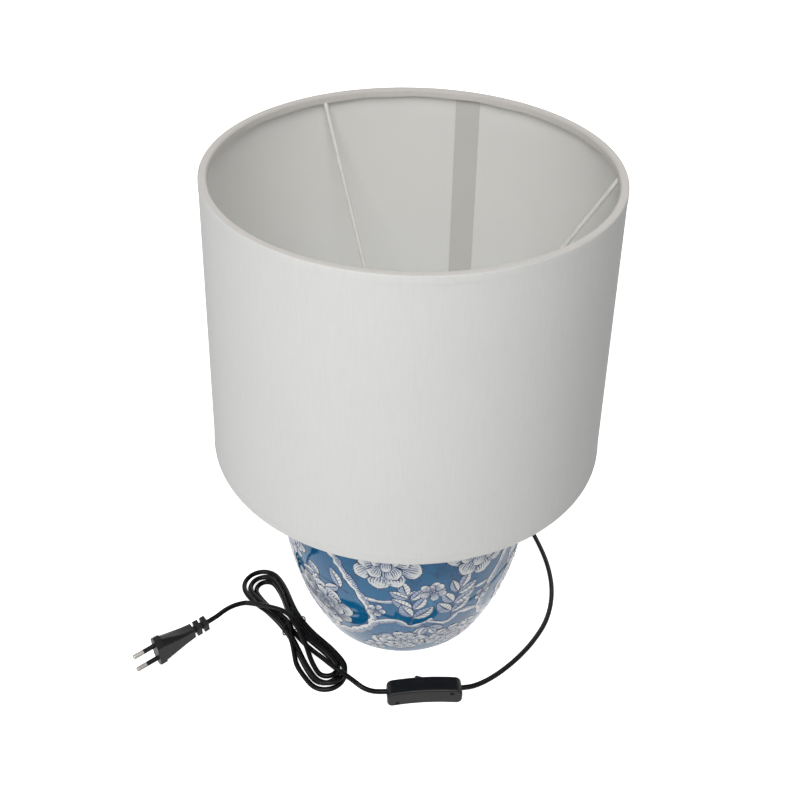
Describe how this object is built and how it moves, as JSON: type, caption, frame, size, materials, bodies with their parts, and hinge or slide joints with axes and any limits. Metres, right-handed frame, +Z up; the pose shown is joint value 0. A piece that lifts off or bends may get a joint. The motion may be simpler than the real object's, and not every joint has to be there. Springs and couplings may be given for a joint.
{
  "type": "table lamp",
  "caption": "Ginger jar table lamp: glazed blue-and-white jar, tapered drum shade on a wire frame, and a black mains lead with a rocker switch and a tied hank.",
  "frame": {"origin": "on the surface that the lamp stands on, at the jar's axis", "axes": "+Z up; +Y to the back, where the lead leaves the foot; +X to the right seen from the front"},
  "size_m": [0.3675, 0.301, 0.41],
  "materials": {
    "glaze": "gloss",
    "felt": "matte",
    "seal_rubber": "matte",
    "zinc_steel": "satin",
    "cap_metal": "satin",
    "holder_plastic": "satin",
    "holder_ceramic": "matte",
    "brass": "satin",
    "core_brown": "satin",
    "core_blue": "satin",
    "shade_fabric": "matte",
    "shade_lining": "matte",
    "seam_tape": "matte",
    "edge_tape": "matte",
    "frame_wire": "satin",
    "cord_black": "satin",
    "bush_black": "satin",
    "tie_black": "satin",
    "switch_top": "satin",
    "switch_under": "matte",
    "rocker_black": "gloss",
    "plug_black": "satin",
    "pin_sleeve": "satin",
    "nickel": "polished"
  },
  "bodies": {
    "lamp": {"jar_body": "glaze", "foot_felt": "felt", "base_gasket": "seal_rubber", "base_washer": "zinc_steel", "base_nut": "zinc_steel", "threaded_rod": "zinc_steel", "cap_nut": "zinc_steel", "holder_lock_screw": "zinc_steel", "rocker_pin": "zinc_steel", "switch_case_screws": "zinc_steel", "switch_terminal_screws": "zinc_steel", "terminal_screws": "zinc_steel", "neck_cap": "cap_metal", "holder_base": "holder_plastic", "holder_sleeve": "holder_plastic", "shade_ring": "holder_plastic", "holder_core": "holder_ceramic", "holder_screw_shell": "brass", "centre_contact": "brass", "terminals": "brass", "switch_contacts": "brass", "live_core": "core_brown", "neutral_core": "core_blue", "inner_lead": "cord_black", "lamp_lead": "cord_black", "switch_lead": "cord_black", "cord_hank": "cord_black", "plug_lead": "cord_black", "plug_cord_end": "cord_black", "switch_cores": "cord_black", "cord_bush": "bush_black", "cord_stop": "bush_black", "hank_tie": "tie_black", "switch_cover": "switch_top", "switch_base": "switch_under", "plug_body": "plug_black", "plug_pin_sleeves": "pin_sleeve", "plug_pins": "nickel"},
    "shade": {"shade_cover": "shade_fabric", "shade_liner": "shade_lining", "seam_strip": "seam_tape", "top_ring": "frame_wire", "bottom_ring": "frame_wire", "top_trim": "edge_tape", "bottom_trim": "edge_tape", "fitter_ring": "frame_wire", "spider_arm_1": "frame_wire", "spider_arm_2": "frame_wire", "spider_arm_3": "frame_wire"},
    "rocker": {"switch_rocker": "rocker_black", "contact_bridge": "brass"}
  },
  "joints": [
    {"name": "shade_turn", "type": "hinge", "parent": "lamp", "child": "shade", "pos_m": [0, 0, 0.221], "axis": [0, 0, 1], "continuous": true},
    {"name": "switch_rocker_tilt", "type": "hinge", "parent": "lamp", "child": "rocker", "pos_m": [0.02025, -0.11571, 0.008], "axis": [0, 0, 1], "range_deg": [0, 16]}
  ]
}
